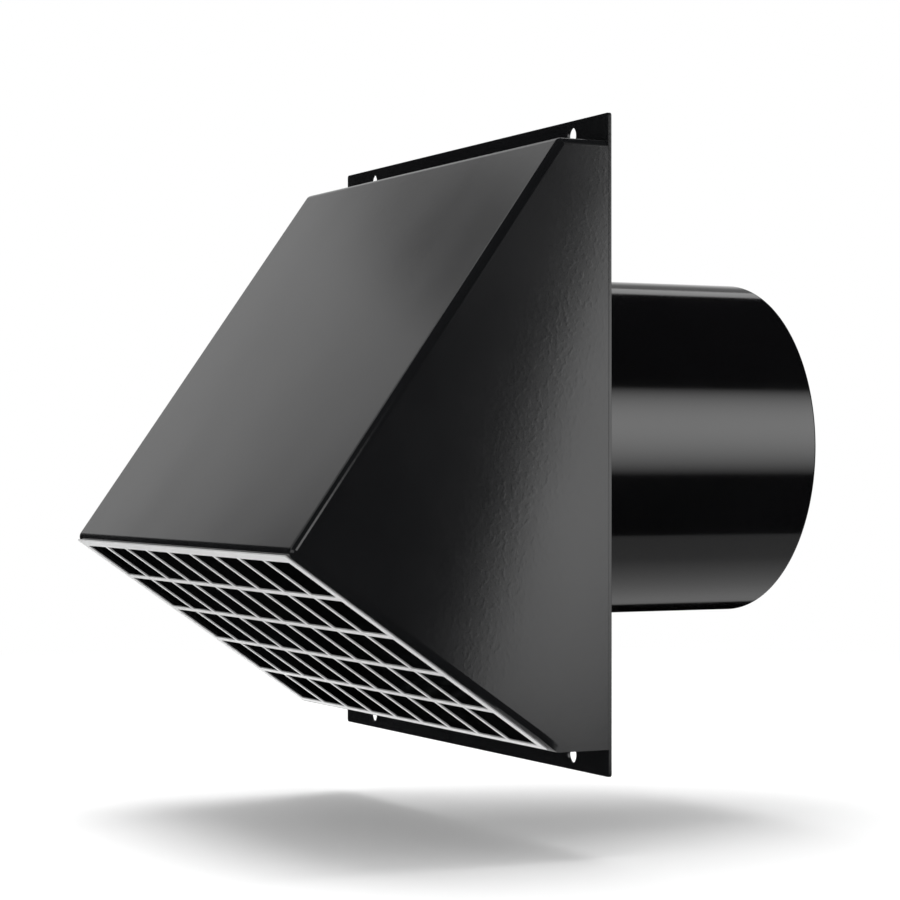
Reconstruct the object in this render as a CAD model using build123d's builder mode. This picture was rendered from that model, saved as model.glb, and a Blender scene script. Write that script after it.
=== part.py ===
"""Wall duct terminal: a wedge-shaped hood of folded sheet on a wall plate, with a grille and a duct spigot."""
import os
from math import hypot

from build123d import *

# Frame: origin on the duct's axis at the wall face, +X to the right facing the wall, +Y into the wall, +Z up

# Hood, measured on the outside of the sheet, with its folds taken as sharp corners
hood_width = 210.0
hood_height = 201.8
hood_projection = 115.8  # wall face to the lip
lip_drop = 34.8  # lip below the duct's axis
shelf_depth = 19.3  # wall face to the start of the upper slope
sill_depth = 20.6  # wall face to the end of the underside
hood_sheet = 1.2
fold_radius = 2.8  # outside of a fold; the edges at the wall plate and beside the sill are square
rear_flange = 12.0  # turned inwards, welded to the wall plate

# Wall plate, as wide as the hood, with a strip for the screws above and below it
strip_height = 9.1
plate_sheet = 1.2
plate_corner = 1.0

# Screw holes in the strips
screw_hole = 6.0
screw_side = 25.0  # plate's side to the middle of a hole
screw_edge = 5.2  # plate's upper or lower edge to the middle of a hole

# Duct spigot, put through the plate from the front
spigot_diameter = 124.5  # slides into a duct of 125 mm bore
spigot_length = 111.0  # wall face to the open end
spigot_wall = 2.0
spigot_end_round = 1.0
shoulder_step = 1.2  # stands out from the tube inside the plate's hole, to centre it
shoulder_bevel = 1.0
collar_width = 10.0
collar_thickness = 2.0
plate_hole_clearance = 0.25

# Grille, laid on the outside of the underside's flanges
grille_sheet = 0.5
grille_opening = 19.8
grille_bar = 2.2
grille_side_inset = 3.0  # from the hood's sides
grille_lip_inset = 0.3  # from the underside's front end
grille_sill_inset = 1.8  # from the underside's rear end
grille_border_least = 2.0
grille_corner = 1.0
flange_setback = 0.3  # edge of the hood's flange behind the edge of the outermost openings

# Worked out from the sizes above
plate_width = hood_width
plate_height = hood_height + 2 * strip_height
hood_back = -plate_sheet
spigot_radius = spigot_diameter / 2
shoulder_radius = spigot_radius + shoulder_step
screw_spacing = plate_width - 2 * screw_side
screw_height_spacing = plate_height - 2 * screw_edge

rear_top = (hood_back, hood_height / 2)
shelf_front = (-shelf_depth, hood_height / 2)
lip = (-hood_projection, -lip_drop)
underside_end = (-sill_depth, -hood_height / 2)
rear_bottom = (hood_back, -hood_height / 2)

underside_run = underside_end[0] - lip[0]
underside_fall = lip[1] - underside_end[1]
underside_length = hypot(underside_run, underside_fall)
underside = Plane(
    origin=(0, (lip[0] + underside_end[0]) / 2, (lip[1] + underside_end[1]) / 2),
    x_dir=(1, 0, 0),
    z_dir=(0, -underside_fall, -underside_run),
)

grille_width = hood_width - 2 * grille_side_inset
grille_length = underside_length - grille_lip_inset - grille_sill_inset
grille_shift = (grille_sill_inset - grille_lip_inset) / 2  # towards the lip
grille_pitch = grille_opening + grille_bar
columns = int((grille_width - 2 * grille_border_least + grille_bar) // grille_pitch)
rows_room = underside_length - 2 * (max(grille_lip_inset, grille_sill_inset) + grille_border_least)
rows = int((rows_room + grille_bar) // grille_pitch)
field_width = columns * grille_pitch - grille_bar
field_length = rows * grille_pitch - grille_bar


def hood_body(inset):
    """The hood's wedge as a solid, its faces set back by inset from the outside of the sheet."""
    with BuildPart() as body:
        with BuildSketch(Plane.YZ):
            with BuildLine():
                Polyline(rear_top, shelf_front, lip, underside_end, rear_bottom, close=True)
            make_face()
            if inset:
                offset(amount=-inset)
        extrude(amount=hood_width / 2 - inset, both=True)
        rear_edges = body.edges().group_by(Axis.Y)[-1]
        sill_sides = body.edges().filter_by(Axis.Y).group_by(Axis.Z)[0]
        fillet(body.edges() - rear_edges - sill_sides, fold_radius - inset)
    return body.part


os.makedirs("parts", exist_ok=True)

# Wall plate: flat sheet with the duct's hole and four screw holes
with BuildPart() as back_plate:
    with BuildSketch(Plane.XZ):
        RectangleRounded(plate_width, plate_height, plate_corner)
        Circle(shoulder_radius + plate_hole_clearance, mode=Mode.SUBTRACT)
        with GridLocations(screw_spacing, screw_height_spacing, 2, 2):
            Circle(screw_hole / 2, mode=Mode.SUBTRACT)
    extrude(amount=plate_sheet)

# Hood: one folded sheet, hollow, with a turned-in flange round the wall side and round the underside
with BuildPart() as hood:
    add(hood_body(0))
    add(hood_body(hood_sheet), mode=Mode.SUBTRACT)
    with BuildSketch(Plane.XZ.offset(-hood_back)):
        Rectangle(hood_width - 2 * rear_flange, hood_height - 2 * rear_flange)
    extrude(amount=hood_sheet, mode=Mode.SUBTRACT)
    with BuildSketch(underside):
        Rectangle(field_width + 2 * flange_setback, field_length + 2 * flange_setback)
    extrude(amount=-hood_sheet, mode=Mode.SUBTRACT)

# Grille: flat sheet punched with square openings
with BuildPart() as grille:
    with BuildSketch(underside):
        with Locations((0, grille_shift)):
            RectangleRounded(grille_width, grille_length, grille_corner)
        with GridLocations(grille_pitch, grille_pitch, columns, rows):
            Rectangle(grille_opening, grille_opening, mode=Mode.SUBTRACT)
    extrude(amount=grille_sheet)

# Spigot: tube with a collar that seats on the front of the wall plate, inside the hood
with BuildPart() as spigot:
    with BuildSketch(Plane.XY):
        with BuildLine():
            bore = spigot_radius - spigot_wall
            collar = shoulder_radius + collar_width
            collar_front = hood_back - collar_thickness
            Polyline(
                (bore, collar_front),
                (collar, collar_front),
                (collar, hood_back),
                (shoulder_radius, hood_back),
                (shoulder_radius, 0),
                (spigot_radius, 0),
                (spigot_radius, spigot_length),
                (bore, spigot_length),
                close=True,
            )
        make_face()
    revolve(axis=Axis.Y)
    circles = spigot.edges().filter_by(GeomType.CIRCLE)
    shoulder_root = circles.filter_by_position(Axis.Y, 0, 0).sort_by(SortBy.RADIUS)[0]
    chamfer(shoulder_root, shoulder_bevel)
    open_end = spigot.edges().filter_by(GeomType.CIRCLE).group_by(Axis.Y)[-1]
    fillet(open_end.sort_by(SortBy.RADIUS)[-1], spigot_end_round)

back_plate.part.label = "back_plate"
hood.part.label = "hood"
grille.part.label = "grille"
spigot.part.label = "spigot"

export_step(back_plate.part, "parts/back_plate.step")
export_step(hood.part, "parts/hood.step")
export_step(grille.part, "parts/grille.step")
export_step(spigot.part, "parts/spigot.step")
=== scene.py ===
import math

import bmesh
import bpy
from bpy.props import FloatProperty, FloatVectorProperty, IntProperty, PointerProperty
from bpy.types import Operator, Panel, PropertyGroup
from mathutils import Matrix, Vector


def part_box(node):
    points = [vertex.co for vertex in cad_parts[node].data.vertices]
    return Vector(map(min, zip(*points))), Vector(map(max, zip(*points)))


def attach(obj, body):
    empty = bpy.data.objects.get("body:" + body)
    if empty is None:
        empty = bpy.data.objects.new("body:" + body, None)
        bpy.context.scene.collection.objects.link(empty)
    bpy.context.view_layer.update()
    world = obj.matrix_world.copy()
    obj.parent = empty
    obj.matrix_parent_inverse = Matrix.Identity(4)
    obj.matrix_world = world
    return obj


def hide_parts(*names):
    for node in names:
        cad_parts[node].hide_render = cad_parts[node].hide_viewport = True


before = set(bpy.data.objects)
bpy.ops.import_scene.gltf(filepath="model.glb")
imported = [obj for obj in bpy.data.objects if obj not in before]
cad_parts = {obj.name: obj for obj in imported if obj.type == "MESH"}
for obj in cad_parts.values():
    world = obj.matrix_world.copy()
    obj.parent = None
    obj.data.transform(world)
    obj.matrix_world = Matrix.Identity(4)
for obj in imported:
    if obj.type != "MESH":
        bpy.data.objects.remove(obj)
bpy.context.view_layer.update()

bl_info = {
    "name": "Wall duct terminal",
    "version": (1, 0, 0),
    "blender": (4, 5, 0),
    "location": "View3D > Sidebar > Duct terminal",
    "description": "Dresses a wall duct terminal: folded hood, wall plate, punched grille and duct spigot",
    "category": "Object",
}

PLATE_LOW, PLATE_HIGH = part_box("back_plate")
HOOD_LOW, HOOD_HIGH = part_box("hood")
SPIGOT_LOW, SPIGOT_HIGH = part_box("spigot")
HOOD_WIDTH = HOOD_HIGH.x - HOOD_LOW.x
HOOD_HEIGHT = HOOD_HIGH.z - HOOD_LOW.z
BODY = "root"
MM = 0.001

# Points that lie closer than this are one point.
NEAR = 0.01 * MM
# Edges that turn by more than this, in degrees, stay sharp.
FOLD_ANGLE = 35
CUT_ANGLE = 40
# Facets of the small round stretches, and of the holes in the wall plate.
COAT_STEPS = 2
PLATE_CORNER_STEPS = 6
GRILLE_CORNER_STEPS = 5
OPENING_CORNER_STEPS = 3
END_ROUND_STEPS = 8
INNER_ROUND_STEPS = 5
DUCT_HOLE_FACETS = 192
SCREW_HOLE_FACETS = 36
# The four corners of a rectangle, as signs, from the upper right one round to the lower right one.
CORNERS = ((1, 1), (-1, 1), (-1, -1), (1, -1))


def length(label, words, default):
    """A size in metres for the panel."""
    return FloatProperty(name=label, description=words, default=default, unit="LENGTH", precision=5)


def count(label, words, default, least):
    """A whole number for the panel."""
    return IntProperty(name=label, description=words, default=default, min=least)


def light_level(label, words, default):
    """A brightness for the panel, where 1 is the white of the surround."""
    return FloatProperty(name=label, description=words, default=default, min=0)


def share(label, words, default):
    """A number from 0 to 1 for the panel."""
    return FloatProperty(name=label, description=words, default=default, min=0, max=1, subtype="FACTOR")


def colour(label, words, default):
    """A linear colour for the panel."""
    return FloatVectorProperty(
        name=label, description=words, default=default, size=3, min=0, max=1, subtype="COLOR"
    )


class HoodSizes(PropertyGroup):
    """The hood's outline, measured on the outside of the sheet, with its folds taken as sharp corners."""

    projection: length("Projection", "From the wall face to the lip", 115.8 * MM)
    lip_drop: length("Lip drop", "How far the lip lies below the duct's axis", 34.8 * MM)
    shelf_depth: length("Shelf depth", "From the wall face to the start of the upper slope", 19.3 * MM)
    sill_depth: length("Sill depth", "From the wall face to the end of the underside", 20.6 * MM)
    sheet: length("Sheet", "Thickness of the hood's sheet", 1.2 * MM)
    fold_radius: length("Fold radius", "Outside radius of a fold", 2.8 * MM)
    run_out: length("Run-out", "Where the side folds run out into square edges before the sill", 12 * MM)
    rear_flange: length("Rear flange", "Width of the flange that lies on the wall plate", 12 * MM)
    fold_steps: count("Fold steps", "Facets round one fold, even", 8, 2)


class PlateSizes(PropertyGroup):
    """The wall plate's corners and holes."""

    corner: length("Corner", "Radius of the plate's corners", 1 * MM)
    edge_round: length("Edge round", "Rounding of the coat along the sheet's edges", 0.12 * MM)
    hole_radius: length("Duct hole", "Radius of the hole for the spigot", 63.7 * MM)
    screw_hole: length("Screw hole", "Diameter of a screw hole", 6 * MM)
    screw_spacing: length("Screw spacing", "Between the two screw holes of one strip", 160 * MM)
    screw_height_spacing: length("Screw height", "Between the upper and the lower screw holes", 209.6 * MM)


class GrilleSizes(PropertyGroup):
    """The punched sheet on the hood's underside."""

    opening: length("Opening", "Side of a square opening", 19.8 * MM)
    bar: length("Bar", "Width of the bars between the openings", 2.2 * MM)
    sheet: length("Sheet", "Thickness of the grille's sheet", 0.5 * MM)
    side_inset: length("Side inset", "From the hood's side to the grille's edge", 3 * MM)
    lip_inset: length("Lip inset", "From the underside's front end to the grille's edge", 0.3 * MM)
    sill_inset: length("Sill inset", "From the underside's rear end to the grille's edge", 1.8 * MM)
    corner: length("Corner", "Radius of the grille's corners", 1 * MM)
    opening_corner: length("Opening corner", "Radius of the corners of an opening", 0.5 * MM)
    edge_round: length("Edge round", "Rounding of the coat along the punched edges", 0.12 * MM)
    flange_setback: length("Flange setback", "Hood's flange behind the outermost openings", 0.3 * MM)
    columns: count("Columns", "Openings across the hood", 9, 1)
    rows: count("Rows", "Openings from the lip to the wall", 5, 1)


class SpigotSizes(PropertyGroup):
    """The duct spigot and the collar that holds it behind the plate."""

    radius: length("Radius", "Outside radius of the tube", 62.25 * MM)
    wall: length("Wall", "Thickness of the tube", 2 * MM)
    shoulder_step: length("Shoulder", "How far the shoulder stands out in the plate's hole", 1.2 * MM)
    shoulder_bevel: length("Shoulder bevel", "Bevel between the shoulder and the tube", 1 * MM)
    end_round: length("End round", "Rounding of the open end, outside", 1 * MM)
    inner_round: length("Inner round", "Rounding of the open end, inside", 0.4 * MM)
    facets: count("Facets", "Facets round the tube", 256, 24)


class Finishes(PropertyGroup):
    """Colours and gloss of the three coats."""

    hood_black: colour("Hood black", "Powder coat of the hood and the plate", (0.0062, 0.0064, 0.0070))
    hood_rough: share("Hood roughness", "How dull the powder coat is", 0.15)
    tube_black: colour("Tube black", "Gloss black of the spigot", (0.0030, 0.0030, 0.0033))
    tube_rough: share("Tube roughness", "How dull the spigot is", 0.10)
    grille_white: colour("Grille white", "Coat of the grille", (0.72, 0.72, 0.72))
    grille_rough: share("Grille roughness", "How dull the white coat is", 0.45)


class StudioSettings(PropertyGroup):
    """Floor, light and camera."""

    floor_drop: length("Floor", "Floor below the duct's axis", 137 * MM)
    ambient: light_level("Ambient", "Light from all round on matt surfaces", 0.85)
    softbox: light_level("Softbox", "Brightness of the softbox's middle", 2.9)
    bounce: light_level("Bounce", "Brightness of the card under the tube", 0.63)
    left_card: light_level("Left card", "Brightness of the card on the left", 0.75)
    rear_card: light_level("Rear card", "Brightness of the left wall's rear part", 0.8)
    dim_cards: light_level("Dim cards", "Brightness of the faint cards behind the softbox", 0.2)
    edge_card: light_level("Edge card", "Brightness of the small card in front of the softbox", 3.2)
    overhead: light_level("Overhead", "Brightness of the panel overhead", 3.6)
    under: light_level("Under", "Brightness of the panel under the grille", 1.0)
    camera_place: FloatVectorProperty(
        name="Camera place",
        description="Where the camera stands",
        default=(0.84761, -0.43026, -0.00712),
        size=3,
        subtype="TRANSLATION",
        unit="LENGTH",
    )
    camera_aim: FloatVectorProperty(
        name="Camera aim",
        description="Direction in which the camera looks",
        default=(-0.89478, 0.44636, 0.00620),
        size=3,
        subtype="DIRECTION",
    )
    lens: FloatProperty(name="Lens", description="Focal length", default=103.56, min=1, unit="CAMERA")


class TerminalSettings(PropertyGroup):
    """Everything that the panel shows."""

    hood: PointerProperty(type=HoodSizes)
    plate: PointerProperty(type=PlateSizes)
    grille: PointerProperty(type=GrilleSizes)
    spigot: PointerProperty(type=SpigotSizes)
    finishes: PointerProperty(type=Finishes)
    studio: PointerProperty(type=StudioSettings)


class Term:
    """One output of a node tree; arithmetic on it adds Math nodes."""

    def __init__(self, tree, socket):
        self.tree = tree
        self.socket = socket

    def other(self, name):
        """Another output of the same node."""
        return Term(self.tree, self.socket.node.outputs[name])

    def math(self, operation, *values):
        """A Math node on these values, each a Term or a number."""
        node = self.tree.nodes.new("ShaderNodeMath")
        node.operation = operation
        for place, value in enumerate(values):
            if isinstance(value, Term):
                self.tree.links.new(value.socket, node.inputs[place])
            else:
                node.inputs[place].default_value = value
        return Term(self.tree, node.outputs[0])

    def __add__(self, other):
        return self.math("ADD", self, other)

    __radd__ = __add__

    def __sub__(self, other):
        return self.math("SUBTRACT", self, other)

    def __rsub__(self, other):
        return self.math("SUBTRACT", other, self)

    def __mul__(self, other):
        return self.math("MULTIPLY", self, other)

    __rmul__ = __mul__

    def __truediv__(self, other):
        return self.math("DIVIDE", self, other)

    def __rtruediv__(self, other):
        return self.math("DIVIDE", other, self)

    def __or__(self, other):
        return self.math("MAXIMUM", self, other)

    __ror__ = __or__


class Tree:
    """A node tree that is filled by one method."""

    def __init__(self, tree):
        self.tree = tree
        tree.nodes.clear()

    def add(self, kind, output=0, settings=None, **inputs):
        """A node of this kind; its inputs are named with underscores for spaces.

        A list fills the inputs of one name in turn.
        """
        node = self.tree.nodes.new(kind)
        for name, value in (settings or {}).items():
            setattr(node, name, value)
        for name, value in inputs.items():
            sockets = self.sockets(node, name.replace("_", " "))
            for place, one in enumerate(value if isinstance(value, list) else [value]):
                socket = sockets[min(place, len(sockets) - 1)]
                if isinstance(one, Term):
                    self.tree.links.new(one.socket, socket)
                else:
                    socket.default_value = one
        return Term(self.tree, node.outputs[output]) if node.outputs else None

    @staticmethod
    def sockets(node, name):
        """The node's shown inputs of this name."""
        found = [socket for socket in node.inputs if socket.enabled and socket.name == name]
        if not found:
            raise RuntimeError(f"{node.bl_idname} has no input named {name}")
        return found

    def mix(self, factor, first, second):
        """A blend of two colours."""
        return self.add(
            "ShaderNodeMix", output=2, settings={"data_type": "RGBA"}, Factor=factor, A=first, B=second
        )

    def ramp(self, value, low, high):
        """0 below the low value, 1 above the high one, smooth between."""
        return self.add(
            "ShaderNodeMapRange",
            settings={"interpolation_type": "SMOOTHSTEP"},
            Value=value,
            From_Min=low,
            From_Max=high,
        )


def around(noise, middle, spread):
    """A value that swings round its middle as the noise goes from 0 to 1."""
    return noise * spread + (middle - spread / 2)


def hump(value, middle, reach):
    """1 at the middle, 0 at this reach on either side of it, along a parabola."""
    offset = (value - middle) / reach
    return 1.0 - offset * offset


def new_material(name):
    """A bare material and its tree."""
    material = bpy.data.materials.new(name)
    material.use_nodes = True
    return material, Tree(material.node_tree)


def shaded(colour_value, factor):
    """The colour made lighter or darker by a factor, with full alpha."""
    return (*(min(1.0, channel * factor) for channel in colour_value), 1.0)


def powder_coat(finishes):
    """Black powder coat: fine orange peel with dimples, on sheet that isn't quite flat."""
    material, tree = new_material("powder_coat")
    place = tree.add("ShaderNodeTexCoord", output="Object")
    peel = tree.add("ShaderNodeTexNoise", Vector=place, Scale=620.0, Detail=2.0, Roughness=0.5)
    pitting = tree.add("ShaderNodeTexNoise", Vector=place, Scale=560.0, Detail=1.0, Roughness=0.4)
    dimples = tree.ramp(pitting, low=0.48, high=0.74)
    sheet_wave = tree.add("ShaderNodeTexNoise", Vector=place, Scale=13.0, Detail=1.0, Roughness=0.4)
    mottle = tree.add("ShaderNodeTexNoise", Vector=place, Scale=26.0, Detail=4.0, Roughness=0.6)
    wave_bump = tree.add("ShaderNodeBump", Strength=0.35, Distance=0.5 * MM, Height=sheet_wave)
    bump = tree.add(
        "ShaderNodeBump", Strength=0.09, Distance=0.05 * MM, Height=peel * 0.4 + dimples, Normal=wave_bump
    )
    black = finishes.hood_black
    tone = tree.mix(mottle, shaded(black, 0.8), shaded(black, 1.25))
    coat = tree.add(
        "ShaderNodeBsdfPrincipled",
        Base_Color=tone,
        Roughness=around(mottle, finishes.hood_rough, spread=0.08),
        Normal=bump,
        IOR=1.5,
    )
    tree.add("ShaderNodeOutputMaterial", Surface=coat)
    return material


def tube_gloss(finishes):
    """Smooth gloss black with faint lines along the tube."""
    material, tree = new_material("tube_gloss")
    place = tree.add("ShaderNodeTexCoord", output="Object")
    along = tree.add("ShaderNodeMapping", Vector=place, Scale=(900.0, 6.0, 900.0))
    lines = tree.add("ShaderNodeTexNoise", Vector=along, Scale=1.0, Detail=2.0, Roughness=0.5)
    haze = tree.add("ShaderNodeTexNoise", Vector=place, Scale=30.0, Detail=3.0, Roughness=0.6)
    bump = tree.add("ShaderNodeBump", Strength=0.15, Distance=0.004 * MM, Height=lines)
    black = finishes.tube_black
    gloss = tree.add(
        "ShaderNodeBsdfPrincipled",
        Base_Color=tree.mix(haze, shaded(black, 0.8), shaded(black, 1.2)),
        Roughness=around(haze, finishes.tube_rough, spread=0.06) + around(lines, 0.0, spread=0.02),
        Normal=bump,
        IOR=1.6,
    )
    tree.add("ShaderNodeOutputMaterial", Surface=gloss)
    return material


def white_coat(finishes):
    """White satin coat on the punched sheet, with painted shade on its cut edges, the walls of the
    openings.
    """
    material, tree = new_material("white_coat")
    place = tree.add("ShaderNodeTexCoord", output="Object")
    peel = tree.add("ShaderNodeTexNoise", Vector=place, Scale=900.0, Detail=2.0, Roughness=0.5)
    cloud = tree.add("ShaderNodeTexNoise", Vector=place, Scale=45.0, Detail=3.0, Roughness=0.6)
    bump = tree.add("ShaderNodeBump", Strength=0.4, Distance=0.02 * MM, Height=peel)
    white = finishes.grille_white
    # The cut edges are the walls of the openings; their darker white is painted shade inside the openings.
    cut = tree.add("ShaderNodeAttribute", output="Fac", settings={"attribute_name": "cut_edge"})
    tone = tree.mix(cloud, shaded(white, 0.95), shaded(white, 1.05))
    coat = tree.add(
        "ShaderNodeBsdfPrincipled",
        Base_Color=tree.mix(cut, tone, shaded(white, 0.55)),
        Roughness=around(cloud, finishes.grille_rough, spread=0.12),
        Normal=bump,
        IOR=1.5,
    )
    tree.add("ShaderNodeOutputMaterial", Surface=coat)
    return material


def finish(name, maker):
    """The material of this name, made once."""
    found = bpy.data.materials.get(name)
    return found or maker(bpy.context.scene.duct_terminal.finishes)


def baked(thing):
    """The object's mesh with its modifiers applied; the object itself goes."""
    depsgraph = bpy.context.evaluated_depsgraph_get()
    mesh = bpy.data.meshes.new_from_object(thing.evaluated_get(depsgraph), depsgraph=depsgraph)
    old = thing.data
    bpy.data.objects.remove(thing)
    if isinstance(old, bpy.types.Mesh):
        bpy.data.meshes.remove(old)
    else:
        bpy.data.curves.remove(old)
    return mesh


def held(name, data):
    """An object for this data, in the scene."""
    thing = bpy.data.objects.new(name, data)
    bpy.context.scene.collection.objects.link(thing)
    return thing


def meshed(name, shape):
    """The edited shape as a mesh of this name."""
    mesh = bpy.data.meshes.new(name)
    shape.to_mesh(mesh)
    shape.free()
    return mesh


def smoothed(mesh, angle):
    """The mesh in smooth shading, with sharp edges over the angle and flat faces kept flat."""
    mesh.shade_smooth()
    mesh.set_sharp_from_angle(angle=math.radians(angle))
    thing = held(mesh.name, mesh)
    weigh = thing.modifiers.new("flat faces", "WEIGHTED_NORMAL")
    weigh.weight = 100
    weigh.keep_sharp = True
    return baked(thing)


def place_piece(name, mesh, material, node):
    """A finished piece that stands for a CAD node and moves with it."""
    mesh.materials.clear()
    mesh.materials.append(material)
    mesh.name = name
    piece = held(name, mesh)
    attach(piece, BODY)
    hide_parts(node)


def arc(centre, radius, start, end, steps):
    """Points on an arc in a plane, from one angle to another, in degrees."""
    angles = [math.radians(start + (end - start) * step / steps) for step in range(steps + 1)]
    return [(centre[0] + radius * math.cos(turn), centre[1] + radius * math.sin(turn)) for turn in angles]


def circle(centre, radius, facets):
    """Points round a whole circle."""
    return arc(centre, radius, 0, 360, facets)[:-1]


def hood_outline(hood):
    """The hood's corners from the side, as depth and height, from the plate over the lip and back to it."""
    front = PLATE_LOW.y
    return [
        Vector((front, HOOD_HIGH.z)),
        Vector((-hood.shelf_depth, HOOD_HIGH.z)),
        Vector((-hood.projection, -hood.lip_drop)),
        Vector((-hood.sill_depth, HOOD_LOW.z)),
        Vector((front, HOOD_LOW.z)),
    ]


class Underside:
    """The sloping plane under the lip, which carries the grille."""

    def __init__(self, settings):
        outline = hood_outline(settings.hood)
        lip, end = outline[2], outline[3]
        grille = settings.grille
        self.middle = (lip + end) / 2
        self.length = (end - lip).length
        self.tilt = math.atan2(lip.y - end.y, end.x - lip.x)
        self.pitch = grille.opening + grille.bar
        self.field_width = grille.columns * self.pitch - grille.bar
        self.field_length = grille.rows * self.pitch - grille.bar
        self.window_width = self.field_width + 2 * grille.flange_setback
        self.window_length = self.field_length + 2 * grille.flange_setback


def fold_samples(outline, radius, steps):
    """The middle of the fold at each corner of an open outline, and the directions round it.

    The two ends of the outline have no fold, and only one direction.
    """
    samples = []
    final = len(outline) - 1
    for place, corner in enumerate(outline):
        before = outline[max(place, 1)] - outline[max(place, 1) - 1]
        after = outline[min(place, final - 1) + 1] - outline[min(place, final - 1)]
        first = Vector((before.y, -before.x)).normalized()
        last = Vector((after.y, -after.x)).normalized()
        middle = corner - (first + last) * radius / (1 + first.dot(last))
        turn = first.angle_signed(last)
        start = math.atan2(first.y, first.x)
        shares = [step / steps for step in range(steps + 1)] if 0 < place < final else [0.0]
        angles = [start - turn * share_of for share_of in shares]
        samples.append((middle, [Vector((math.cos(angle), math.sin(angle))) for angle in angles]))
    return samples


def folded_shell(outline, half_width, radius, steps, run_out, under_window, rear_window):
    """The outside of the hood's sheet, folded round the outline and along its sides.

    The side folds run out into square edges before the sill. Each column of points has the middle of its
    fold, a direction from it, and a share that is 0 where the side fold is round and 1 where it is square.
    """
    folds = fold_samples(outline, radius, steps)
    (lip, _), (sill, sill_directions) = folds[-3:-1]
    back = (lip - sill).normalized() * run_out
    run = [(sill + back * (1 - step / steps), sill_directions[:1], step / steps) for step in range(steps)]
    samples = [(*fold, 0.0) for fold in folds[:-2]] + run + [(*fold, 1.0) for fold in folds[-2:]]
    columns = []
    firsts = []
    for middle, directions, square in samples:
        firsts.append(len(columns))
        columns += [(middle, direction, square) for direction in directions]
    turns = [math.pi / 2 * step / steps for step in range(steps + 1)]
    rings = [(-1, turn) for turn in reversed(turns)] + [(1, turn) for turn in turns]
    shell = bmesh.new()
    rows = []
    for side, turn in rings:
        row = []
        for middle, direction, square in columns:
            across, out = math.sin(turn), math.cos(turn)
            stretch = 1 + (1 / max(across, out) - 1) * square
            point = middle + direction * radius * out * stretch
            x = side * (half_width - radius + radius * across * stretch)
            row.append(shell.verts.new((x, point.x, point.y)))
        rows.append(row)
    under_start = firsts[len(folds) - 2] - 1
    under_end = firsts[-2]
    for ring in range(len(rows) - 1):
        here, there = rows[ring], rows[ring + 1]
        for place in range(len(columns) - 1):
            if ring == steps and under_start <= place < under_end:
                continue
            shell.faces.new((here[place], here[place + 1], there[place + 1], there[place]))
    left = rows[steps][under_start : under_end + 1]
    right = rows[steps + 1][under_start : under_end + 1][::-1]
    frame_window(shell, [left, [left[-1], right[0]], right, [right[-1], left[0]]], *under_window)
    for row in (rows[0], rows[-1]):
        shell.faces.new([row[place] for place in firsts])
    bmesh.ops.remove_doubles(shell, verts=shell.verts, dist=NEAR)
    close_rear(shell, outline[0].x, *rear_window)
    bmesh.ops.recalc_face_normals(shell, faces=shell.faces)
    return shell


def close_rear(shell, depth, width, height):
    """The flange on the wall plate, from the sheet's rear edges to a rectangular opening."""

    def at_rear(edge):
        return all(abs(end.co.y - depth) < NEAR for end in edge.verts)

    edges = [edge for edge in shell.edges if edge.is_boundary and at_rear(edge)]
    corners = [shell.verts.new((x * width / 2, depth, z * height / 2)) for x, z in CORNERS]
    edges += [shell.edges.new((corners[place - 1], corners[place])) for place in range(4)]
    bmesh.ops.triangle_fill(shell, use_beauty=True, edges=edges, normal=(0, 1, 0))


def frame_window(shell, sides, width, height):
    """Four faces round an opening in the middle of a flat panel, each along one of its sides."""
    quad = [side[0] for side in sides]
    middle = sum((corner.co for corner in quad), Vector()) / 4
    across = (quad[3].co - quad[0].co).normalized() * width / 2
    along = (quad[1].co - quad[0].co).normalized() * height / 2
    signs = ((-1, -1), (-1, 1), (1, 1), (1, -1))
    inner = [shell.verts.new(middle + across * a + along * b) for a, b in signs]
    for place, side in enumerate(sides):
        shell.faces.new((*side, inner[(place + 1) % 4], inner[place]))


def lathe(profile, facets):
    """A closed ring turned round the duct's axis from a closed profile of radius and depth."""
    turned = bmesh.new()
    rings = []
    for facet in range(facets):
        angle = 2 * math.pi * facet / facets
        rings.append(
            [turned.verts.new((r * math.cos(angle), depth, r * math.sin(angle))) for r, depth in profile]
        )
    for facet in range(facets):
        here, there = rings[facet], rings[(facet + 1) % facets]
        for place in range(len(profile)):
            following = (place + 1) % len(profile)
            turned.faces.new((here[place], here[following], there[following], there[place]))
    bmesh.ops.recalc_face_normals(turned, faces=turned.faces)
    return turned


def add_outline(curve, points):
    """A closed straight-sided outline on a flat curve."""
    spline = curve.splines.new("POLY")
    spline.points.add(len(points) - 1)
    for point, (x, y) in zip(spline.points, points):
        point.co = (x, y, 0, 1)
    spline.use_cyclic_u = True


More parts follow.
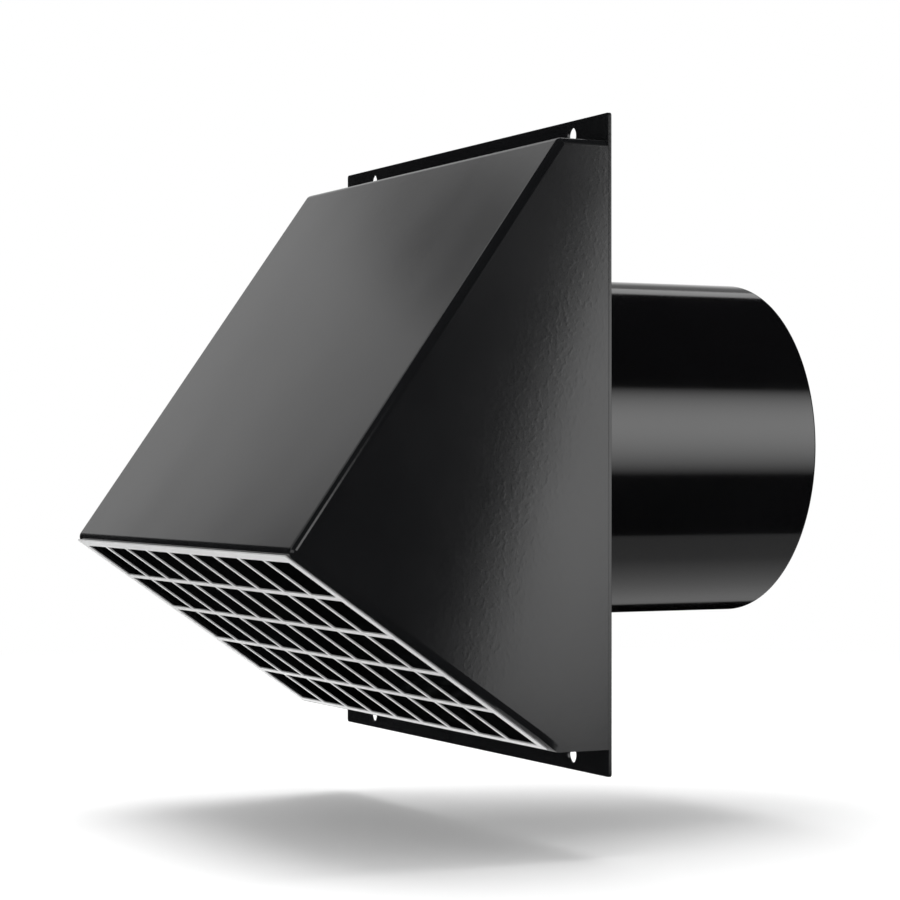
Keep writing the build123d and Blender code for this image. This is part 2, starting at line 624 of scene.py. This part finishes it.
def punched_sheet_tree():
    """A node group that makes a flat sheet with a field of square openings."""
    group = bpy.data.node_groups.new("punched_sheet", "GeometryNodeTree")
    sockets = {}
    for name, kind in (
        ("Width", "Float"),
        ("Length", "Float"),
        ("Shift", "Vector"),
        ("Sheet", "Float"),
        ("Corner", "Float"),
        ("Opening", "Float"),
        ("Opening Corner", "Float"),
        ("Pitch", "Float"),
        ("Columns", "Int"),
        ("Rows", "Int"),
        ("Place", "Vector"),
        ("Tilt", "Rotation"),
        ("Material", "Material"),
    ):
        socket = group.interface.new_socket(name, in_out="INPUT", socket_type=f"NodeSocket{kind}")
        sockets[name] = socket.identifier
    group.interface.new_socket("Geometry", in_out="OUTPUT", socket_type="NodeSocketGeometry")
    tree = Tree(group)
    first = tree.add("NodeGroupInput")
    given = {name: first.other(name) for name in sockets}

    def rounded_quad(width, height, corner, steps):
        quad = tree.add("GeometryNodeCurvePrimitiveQuadrilateral", Width=width, Height=height)
        return tree.add(
            "GeometryNodeFilletCurve",
            settings={"mode": "POLY"},
            Curve=quad,
            Count=steps,
            Radius=corner,
            Limit_Radius=True,
        )

    edge = rounded_quad(given["Width"], given["Length"], given["Corner"], GRILLE_CORNER_STEPS)
    edge = tree.add("GeometryNodeTransform", Geometry=edge, Translation=given["Shift"])
    side = given["Opening"]
    opening = rounded_quad(side, side, given["Opening Corner"], OPENING_CORNER_STEPS)
    field = tree.add(
        "GeometryNodeMeshGrid",
        Size_X=(given["Columns"] - 1) * given["Pitch"],
        Size_Y=(given["Rows"] - 1) * given["Pitch"],
        Vertices_X=given["Columns"],
        Vertices_Y=given["Rows"],
    )
    openings = tree.add("GeometryNodeInstanceOnPoints", Points=field, Instance=opening)
    openings = tree.add("GeometryNodeRealizeInstances", Geometry=openings)
    outlines = tree.add("GeometryNodeJoinGeometry", Geometry=[edge, openings])
    face = tree.add("GeometryNodeFillCurve", settings={"mode": "NGONS"}, Curve=outlines)
    raised = tree.add("GeometryNodeExtrudeMesh", Mesh=face, Offset_Scale=given["Sheet"], Individual=False)
    # Marks the walls of the openings, where the white coat has painted shade.
    marked = tree.add(
        "GeometryNodeStoreNamedAttribute",
        settings={"data_type": "FLOAT", "domain": "FACE"},
        Geometry=raised,
        Selection=raised.other("Side"),
        Name="cut_edge",
        Value=1.0,
    )
    back = tree.add("GeometryNodeFlipFaces", Mesh=face)
    solid = tree.add("GeometryNodeJoinGeometry", Geometry=[marked, back])
    solid = tree.add("GeometryNodeMergeByDistance", Geometry=solid, Distance=NEAR)
    solid = tree.add(
        "GeometryNodeTransform", Geometry=solid, Translation=given["Place"], Rotation=given["Tilt"]
    )
    solid = tree.add("GeometryNodeRealizeInstances", Geometry=solid)
    solid = tree.add("GeometryNodeSetMaterial", Geometry=solid, Material=given["Material"])
    tree.add("NodeGroupOutput", Geometry=solid)
    return group, sockets


class DUCT_TERMINAL_OT_wall_plate(Operator):
    """Cuts the wall plate with its duct hole and four screw holes"""

    bl_idname = "duct_terminal.wall_plate"
    bl_label = "Wall plate"

    def execute(self, context):
        plate = context.scene.duct_terminal.plate
        half_width, half_height = PLATE_HIGH.x, PLATE_HIGH.z
        half_sheet = (PLATE_HIGH.y - PLATE_LOW.y) / 2
        curve = bpy.data.curves.new("wall_plate", "CURVE")
        curve.dimensions = "2D"
        curve.fill_mode = "BOTH"
        curve.extrude = half_sheet - plate.edge_round
        curve.bevel_depth = plate.edge_round
        curve.bevel_resolution = COAT_STEPS
        curve.offset = -plate.edge_round
        edge = []
        for place, (right, up) in enumerate(CORNERS):
            middle = (right * (half_width - plate.corner), up * (half_height - plate.corner))
            edge += arc(middle, plate.corner, 90 * place, 90 * place + 90, PLATE_CORNER_STEPS)
        add_outline(curve, edge)
        add_outline(curve, circle((0, 0), plate.hole_radius, DUCT_HOLE_FACETS))
        for right, up in CORNERS:
            middle = (right * plate.screw_spacing / 2, up * plate.screw_height_spacing / 2)
            add_outline(curve, circle(middle, plate.screw_hole / 2, SCREW_HOLE_FACETS))
        mesh = baked(held("wall_plate_shape", curve))
        stand = Matrix.Rotation(math.radians(90), 4, "X")
        mesh.transform(Matrix.Translation((0, PLATE_LOW.y + half_sheet, 0)) @ stand)
        mesh = smoothed(mesh, CUT_ANGLE)
        place_piece("wall_plate", mesh, finish("powder_coat", powder_coat), "back_plate")
        return {"FINISHED"}


class DUCT_TERMINAL_OT_hood(Operator):
    """Folds the hood from one sheet, open at the wall and under the lip"""

    bl_idname = "duct_terminal.hood"
    bl_label = "Hood"

    def execute(self, context):
        settings = context.scene.duct_terminal
        hood = settings.hood
        under = Underside(settings)
        shell = folded_shell(
            hood_outline(hood),
            HOOD_HIGH.x,
            hood.fold_radius,
            hood.fold_steps,
            hood.run_out,
            (under.window_width, under.window_length),
            (HOOD_WIDTH - 2 * hood.rear_flange, HOOD_HEIGHT - 2 * hood.rear_flange),
        )
        piece = held("hood_shape", meshed("hood_shape", shell))
        wall = piece.modifiers.new("sheet", "SOLIDIFY")
        wall.thickness = hood.sheet
        wall.offset = -1
        wall.use_even_offset = True
        mesh = smoothed(baked(piece), FOLD_ANGLE)
        place_piece("hood_sheet", mesh, finish("powder_coat", powder_coat), "hood")
        return {"FINISHED"}


class DUCT_TERMINAL_OT_grille(Operator):
    """Punches the grille and lays it on the hood's underside"""

    bl_idname = "duct_terminal.grille"
    bl_label = "Grille"

    def execute(self, context):
        settings = context.scene.duct_terminal
        grille = settings.grille
        under = Underside(settings)
        coat = finish("white_coat", white_coat)
        group, sockets = punched_sheet_tree()
        piece = held("grille_shape", bpy.data.meshes.new("grille_shape"))
        punch = piece.modifiers.new("punched sheet", "NODES")
        punch.node_group = group
        values = {
            "Width": HOOD_WIDTH - 2 * grille.side_inset,
            "Length": under.length - grille.lip_inset - grille.sill_inset,
            "Shift": (0.0, (grille.sill_inset - grille.lip_inset) / 2, 0.0),
            "Sheet": grille.sheet,
            "Corner": grille.corner,
            "Opening": grille.opening,
            "Opening Corner": grille.opening_corner,
            "Pitch": under.pitch,
            "Columns": grille.columns,
            "Rows": grille.rows,
            "Place": (0.0, under.middle.x, under.middle.y),
            "Tilt": (math.pi - under.tilt, 0.0, 0.0),
            "Material": coat,
        }
        for name, value in values.items():
            punch[sockets[name]] = value
        rounding = piece.modifiers.new("coat on the edges", "BEVEL")
        rounding.width = grille.edge_round
        rounding.segments = COAT_STEPS
        rounding.limit_method = "ANGLE"
        mesh = baked(piece)
        if not mesh.polygons:
            raise RuntimeError("the punched sheet came out empty")
        mesh = smoothed(mesh, CUT_ANGLE)
        place_piece("grille_sheet", mesh, coat, "grille")
        return {"FINISHED"}


class DUCT_TERMINAL_OT_spigot(Operator):
    """Turns the duct spigot with its collar and rounded end"""

    bl_idname = "duct_terminal.spigot"
    bl_label = "Duct spigot"

    def execute(self, context):
        spigot = context.scene.duct_terminal.spigot
        bore = spigot.radius - spigot.wall
        shoulder = spigot.radius + spigot.shoulder_step
        collar, front, back = SPIGOT_HIGH.x, SPIGOT_LOW.y, PLATE_LOW.y
        end = SPIGOT_HIGH.y
        outer, inner = spigot.end_round, spigot.inner_round
        profile = [
            (bore, front),
            (collar, front),
            (collar, back),
            (shoulder, back),
            (shoulder, 0.0),
            (shoulder - spigot.shoulder_bevel, 0.0),
            (spigot.radius, spigot.shoulder_bevel),
        ]
        profile += arc((spigot.radius - outer, end - outer), outer, 0, 90, END_ROUND_STEPS)
        profile += arc((bore + inner, end - inner), inner, 90, 180, INNER_ROUND_STEPS)
        mesh = smoothed(meshed("spigot_shape", lathe(profile, spigot.facets)), FOLD_ANGLE)
        place_piece("spigot_tube", mesh, finish("tube_gloss", tube_gloss), "spigot")
        return {"FINISHED"}


def matt(name, colour_value):
    """A plain matt material for the studio's own things."""
    material, tree = new_material(name)
    face = tree.add("ShaderNodeBsdfDiffuse", Color=(*colour_value, 1.0))
    tree.add("ShaderNodeOutputMaterial", Surface=face)
    return material


def card(name, corners, material):
    """A flat sheet through four corners."""
    mesh = bpy.data.meshes.new(name)
    mesh.from_pydata(corners, [], [(0, 1, 2, 3)])
    mesh.materials.append(material)
    sheet = held(name, mesh)
    return sheet


def glow(name, strength, share_of):
    """A card's material that is black where the share is 0 and shines at this strength where it is 1."""
    material, tree = new_material(name)
    place = tree.add("ShaderNodeTexCoord", output="Object")
    x = tree.add("ShaderNodeSeparateXYZ", Vector=place)
    dark = tree.add("ShaderNodeBsdfDiffuse", Color=(0.0, 0.0, 0.0, 1.0))
    bright = tree.add("ShaderNodeEmission", Color=(1.0, 1.0, 1.0, 1.0), Strength=strength)
    lit = share_of(tree, x, x.other("Y"), x.other("Z"))
    face = tree.add("ShaderNodeMixShader", Fac=lit, Shader=[dark, bright])
    tree.add("ShaderNodeOutputMaterial", Surface=face)
    return material


def flag(name, corners, material):
    """A card that only shows in reflections."""
    sheet = card(name, corners, material)
    for ray in ("camera", "diffuse", "transmission", "volume_scatter", "shadow"):
        setattr(sheet, f"visible_{ray}", False)


def level(x_low, x_high, y_low, y_high, z):
    """The corners of a level card."""
    return [(x_low, y_low, z), (x_high, y_low, z), (x_high, y_high, z), (x_low, y_high, z)]


def upright(x, y_low, y_high, z_low, z_high):
    """The corners of a card that stands across the X axis."""
    return [(x, y_low, z_low), (x, y_high, z_low), (x, y_high, z_high), (x, y_low, z_high)]


def panel_light(name, place, aim, width, height, brightness):
    """A soft rectangular light whose face has this brightness, and which isn't seen or mirrored."""
    lamp = bpy.data.lights.new(name, "AREA")
    lamp.shape = "RECTANGLE"
    lamp.size, lamp.size_y = width, height
    lamp.energy = brightness * math.pi * width * height
    light = held(name, lamp)
    light.location = place
    light.rotation_euler = (Vector(aim) - Vector(place)).to_track_quat("-Z", "Y").to_euler()
    light.visible_camera = False
    light.visible_glossy = False


def studio_world(ambient):
    """A white surround for what is seen and mirrored, and plain light on matt surfaces."""
    world = bpy.data.worlds.new("studio")
    world.use_nodes = True
    tree = Tree(world.node_tree)
    seen = tree.add("ShaderNodeLightPath", output="Is Camera Ray")
    mirrored = seen.other("Is Glossy Ray") | seen.other("Is Transmission Ray")
    strength = (seen | mirrored) * (1.0 - ambient) + ambient
    surround = tree.add("ShaderNodeBackground", Color=(1.0, 1.0, 1.0, 1.0), Strength=strength)
    tree.add("ShaderNodeOutputWorld", Surface=surround)
    return world


def floor_white():
    """A matt white floor that takes the shadow, and fades into the white surround further off."""
    material, tree = new_material("floor_white")
    place = tree.add("ShaderNodeTexCoord", output="Object")
    away = tree.add("ShaderNodeVectorMath", output="Value", settings={"operation": "LENGTH"}, Vector=place)
    fade = tree.add("ShaderNodeMapRange", Value=away, From_Min=0.30, From_Max=0.90)
    near = tree.add("ShaderNodeBsdfDiffuse", Color=(0.97, 0.97, 0.97, 1.0))
    far = tree.add("ShaderNodeEmission", Color=(1.0, 1.0, 1.0, 1.0), Strength=1.0)
    face = tree.add("ShaderNodeMixShader", Fac=fade, Shader=[near, far])
    tree.add("ShaderNodeOutputMaterial", Surface=face)
    return material


# The studio is a dark room round the object, in metres.
ROOM_LEFT, ROOM_RIGHT = -1.5, 1.7
ROOM_FRONT, ROOM_REAR = -3.0, 3.0
ROOM_FOOT, ROOM_TOP = -0.2, 1.5
LEFT_WALL_TOP = 1.2
FLOOR_REACH = 40.0
# The floor in the room is black, apart from a lit strip under the tube and a bare one in front of it.
STRIP_LEFT, STRIP_RIGHT = -0.076, 0.105
BARE_FRONT, STRIP_FRONT = -0.05, 0.0
ON_FLOOR = 1 * MM
ABOVE_FLOOR = 2 * MM
# Where the card on the left and the softbox on the right stand.
LEFT_CARD_X = -1.3
SOFTBOX_X = 0.42
SOFTBOX_FOOT = -0.135
# Where the softbox changes from the hood's part to the tube's part.
SOFTBOX_PARTING = 0.193


def dark_room(low):
    """The black ceiling, walls and floor that the black coats mirror."""
    black = matt("flag_black", (0.0, 0.0, 0.0))
    height = low + ON_FLOOR
    rear = [
        (ROOM_LEFT, ROOM_REAR, low),
        (ROOM_RIGHT, ROOM_REAR, low),
        (ROOM_RIGHT, ROOM_REAR, ROOM_TOP),
        (ROOM_LEFT, ROOM_REAR, ROOM_TOP),
    ]
    left_wall_end = -0.38
    flag("flag_overhead", level(LEFT_CARD_X, ROOM_RIGHT, ROOM_FRONT, ROOM_REAR, ROOM_TOP), black)
    flag("flag_right", upright(ROOM_RIGHT, ROOM_FRONT, ROOM_REAR, ROOM_FOOT, ROOM_TOP), black)
    flag("flag_rear", rear, black)
    flag("flag_left", upright(ROOM_LEFT, ROOM_FRONT, left_wall_end, low, LEFT_WALL_TOP), black)
    flag("flag_floor_right", level(STRIP_RIGHT, ROOM_RIGHT, ROOM_FRONT, ROOM_REAR, height), black)
    flag("flag_floor_front", level(ROOM_LEFT, STRIP_RIGHT, ROOM_FRONT, BARE_FRONT, height), black)
    flag("flag_floor_left", level(ROOM_LEFT, STRIP_LEFT, STRIP_FRONT, ROOM_REAR, height), black)


def bounce_card(studio, low):
    """The lit strip of floor under the tube, brightest near its middle."""
    least = 0.48

    def lit(tree, x, y, z):
        return hump(x, middle=-0.015, reach=0.1) | least

    corners = level(STRIP_LEFT, STRIP_RIGHT, STRIP_FRONT, ROOM_REAR, low + ON_FLOOR)
    flag("bounce_card", corners, glow("bounce_card", studio.bounce, lit))


def left_card(studio, low):
    """A card on the left with a dim round spot, and dimmer towards its upper front corner."""
    spot_y, spot_z = -0.143, 0.775
    spot_least = 0.3
    slant_y, slant_z = -0.81, 0.58
    corner_loss = 0.3

    def lit(tree, x, y, z):
        along, up = y - spot_y, z - spot_z
        spot = tree.ramp(along * along + up * up, low=0.0, high=0.016)
        corner = tree.ramp(z * slant_z + y * slant_y, low=0.4, high=0.6)
        return (spot * (1.0 - spot_least) + spot_least) * (1.0 - corner * corner_loss)

    corners = upright(LEFT_CARD_X, y_low=-0.36, y_high=0.35, z_low=low, z_high=ROOM_TOP)
    flag("left_card", corners, glow("left_card", studio.left_card, lit))


def softbox(studio, low):
    """The softbox on the right, with a part for the hood's side, one for the tube and one on the floor."""
    side_top, tube_top, tube_rear = 0.154, 0.33, 0.60
    front_at_foot, front_at_top = 0.1002, 0.1925

    def side_lit(tree, x, y, z):
        return hump(z, middle=0.01, reach=0.205)

    def tube_lit(tree, x, y, z):
        return hump(z, middle=0.10, reach=0.24)

    side_glow = glow("side_card", studio.softbox, side_lit)
    tube_glow = glow("tube_card", studio.softbox, tube_lit)
    side = [
        (SOFTBOX_X, front_at_foot, SOFTBOX_FOOT),
        (SOFTBOX_X, SOFTBOX_PARTING, SOFTBOX_FOOT),
        (SOFTBOX_X, SOFTBOX_PARTING, side_top),
        (SOFTBOX_X, front_at_top, side_top),
    ]
    foot = level(x_low=0.32, x_high=SOFTBOX_X, y_low=0.11, y_high=0.17, z=low + ABOVE_FLOOR)
    flag("side_card", side, side_glow)
    flag("tube_card", upright(SOFTBOX_X, SOFTBOX_PARTING, tube_rear, SOFTBOX_FOOT, tube_top), tube_glow)
    flag("side_card_foot", foot, side_glow)


def dim_cards(studio):
    """Two faint cards behind the softbox, one over the other."""
    behind = SOFTBOX_X + 1 * MM
    foot, seam, top = 0.03, 0.17, 0.6
    bright_from = 0.10

    def lit(tree, x, y, z):
        return tree.ramp(z, low=foot, high=bright_from)

    dim_glow = glow("dim_card", studio.dim_cards, lit)
    low_card = upright(behind, y_low=0.095, y_high=SOFTBOX_PARTING, z_low=foot, z_high=seam)
    high_card = upright(behind, y_low=0.16, y_high=0.265, z_low=seam, z_high=top)
    flag("dim_card", low_card, dim_glow)
    flag("dim_card_high", high_card, dim_glow)


def rear_card(studio, low):
    """The rear part of the left wall, dimmer towards its front edge and its top."""
    top_loss = 0.69

    def lit(tree, x, y, z):
        return tree.ramp(y, low=0.3, high=0.4) * (1.0 - tree.ramp(z, low=0.35, high=0.95) * top_loss)

    corners = upright(ROOM_LEFT, y_low=0.35, y_high=ROOM_REAR, z_low=low, z_high=LEFT_WALL_TOP)
    flag("rear_card", corners, glow("rear_card", studio.rear_card, lit))


def edge_card(studio):
    """A small tilted card in front of the softbox, bright along its lower edge."""
    middle_x, middle_y, middle_z = 0.305, -0.246, 0.15
    slant_x, slant_y, slant_z = -0.15, 0.688, 0.71
    corners = [
        (0.273, -0.292, 0.152),
        (0.375, -0.213, 0.097),
        (0.363, -0.161, 0.150),
        (0.262, -0.240, 0.205),
    ]

    def lit(tree, x, y, z):
        across = (y - middle_y) * slant_y + (z - middle_z) * slant_z + (x - middle_x) * slant_x
        return 1.0 - tree.ramp(across, low=-0.012, high=0.045)

    flag("edge_card", corners, glow("edge_card", studio.edge_card, lit))


def panels(studio, low):
    """The large panel overhead, which casts the shadow, and a small one on the floor under the grille."""
    overhead_place, overhead_side = (-0.21, -0.06, 1.3), 1.1
    under_y, under_width, under_depth = -0.03, 0.2, 0.05
    under_place = (0.0, under_y, low + ABOVE_FLOOR)
    panel_light(
        "panel_overhead", overhead_place, (0.0, 0.0, 0.0), overhead_side, overhead_side, studio.overhead
    )
    panel_light("panel_under", under_place, (0.0, under_y, 0.0), under_width, under_depth, studio.under)


def aimed_camera(studio):
    """The camera at its place, turned along its direction."""
    camera = bpy.data.cameras.new("camera")
    camera.lens = studio.lens
    camera.sensor_width = 36.0
    camera.clip_start, camera.clip_end = 0.01, 200.0
    view = held("camera", camera)
    view.location = studio.camera_place
    view.rotation_euler = Vector(studio.camera_aim).to_track_quat("-Z", "Y").to_euler()
    return view


class DUCT_TERMINAL_OT_studio(Operator):
    """Sets the floor, the light, the black flags and the camera"""

    bl_idname = "duct_terminal.studio"
    bl_label = "Studio"

    def execute(self, context):
        scene = context.scene
        studio = scene.duct_terminal.studio
        low = -studio.floor_drop
        scene.view_settings.view_transform = "Standard"
        scene.world = studio_world(studio.ambient)
        card("floor", level(-FLOOR_REACH, FLOOR_REACH, -FLOOR_REACH, FLOOR_REACH, low), floor_white())
        dark_room(low)
        bounce_card(studio, low)
        left_card(studio, low)
        softbox(studio, low)
        dim_cards(studio)
        rear_card(studio, low)
        edge_card(studio)
        panels(studio, low)
        scene.camera = aimed_camera(studio)
        return {"FINISHED"}


OPERATORS = (
    DUCT_TERMINAL_OT_wall_plate,
    DUCT_TERMINAL_OT_hood,
    DUCT_TERMINAL_OT_grille,
    DUCT_TERMINAL_OT_spigot,
    DUCT_TERMINAL_OT_studio,
)


class DUCT_TERMINAL_PT_panel(Panel):
    """Lists the pieces and their sizes"""

    bl_idname = "DUCT_TERMINAL_PT_panel"
    bl_label = "Wall duct terminal"
    bl_space_type = "VIEW_3D"
    bl_region_type = "UI"
    bl_category = "Duct terminal"

    def draw(self, context):
        settings = context.scene.duct_terminal
        for operator in OPERATORS:
            self.layout.operator(operator.bl_idname)
        for name in ("hood", "plate", "grille", "spigot", "finishes", "studio"):
            group = getattr(settings, name)
            box = self.layout.box()
            box.label(text=name.capitalize())
            for key in group.__annotations__:
                box.prop(group, key)


CLASSES = (
    HoodSizes,
    PlateSizes,
    GrilleSizes,
    SpigotSizes,
    Finishes,
    StudioSettings,
    TerminalSettings,
    *OPERATORS,
    DUCT_TERMINAL_PT_panel,
)


def register():
    """Adds the classes and the scene's settings."""
    for entry in CLASSES:
        bpy.utils.register_class(entry)
    bpy.types.Scene.duct_terminal = PointerProperty(type=TerminalSettings)


def unregister():
    """Takes them away again."""
    del bpy.types.Scene.duct_terminal
    for entry in reversed(CLASSES):
        bpy.utils.unregister_class(entry)


def main():
    """Makes the pieces and the studio."""
    register()
    bpy.ops.duct_terminal.wall_plate()
    bpy.ops.duct_terminal.hood()
    bpy.ops.duct_terminal.grille()
    bpy.ops.duct_terminal.spigot()
    bpy.ops.duct_terminal.studio()
    bpy.context.view_layer.update()


if __name__ == "__main__":
    main()
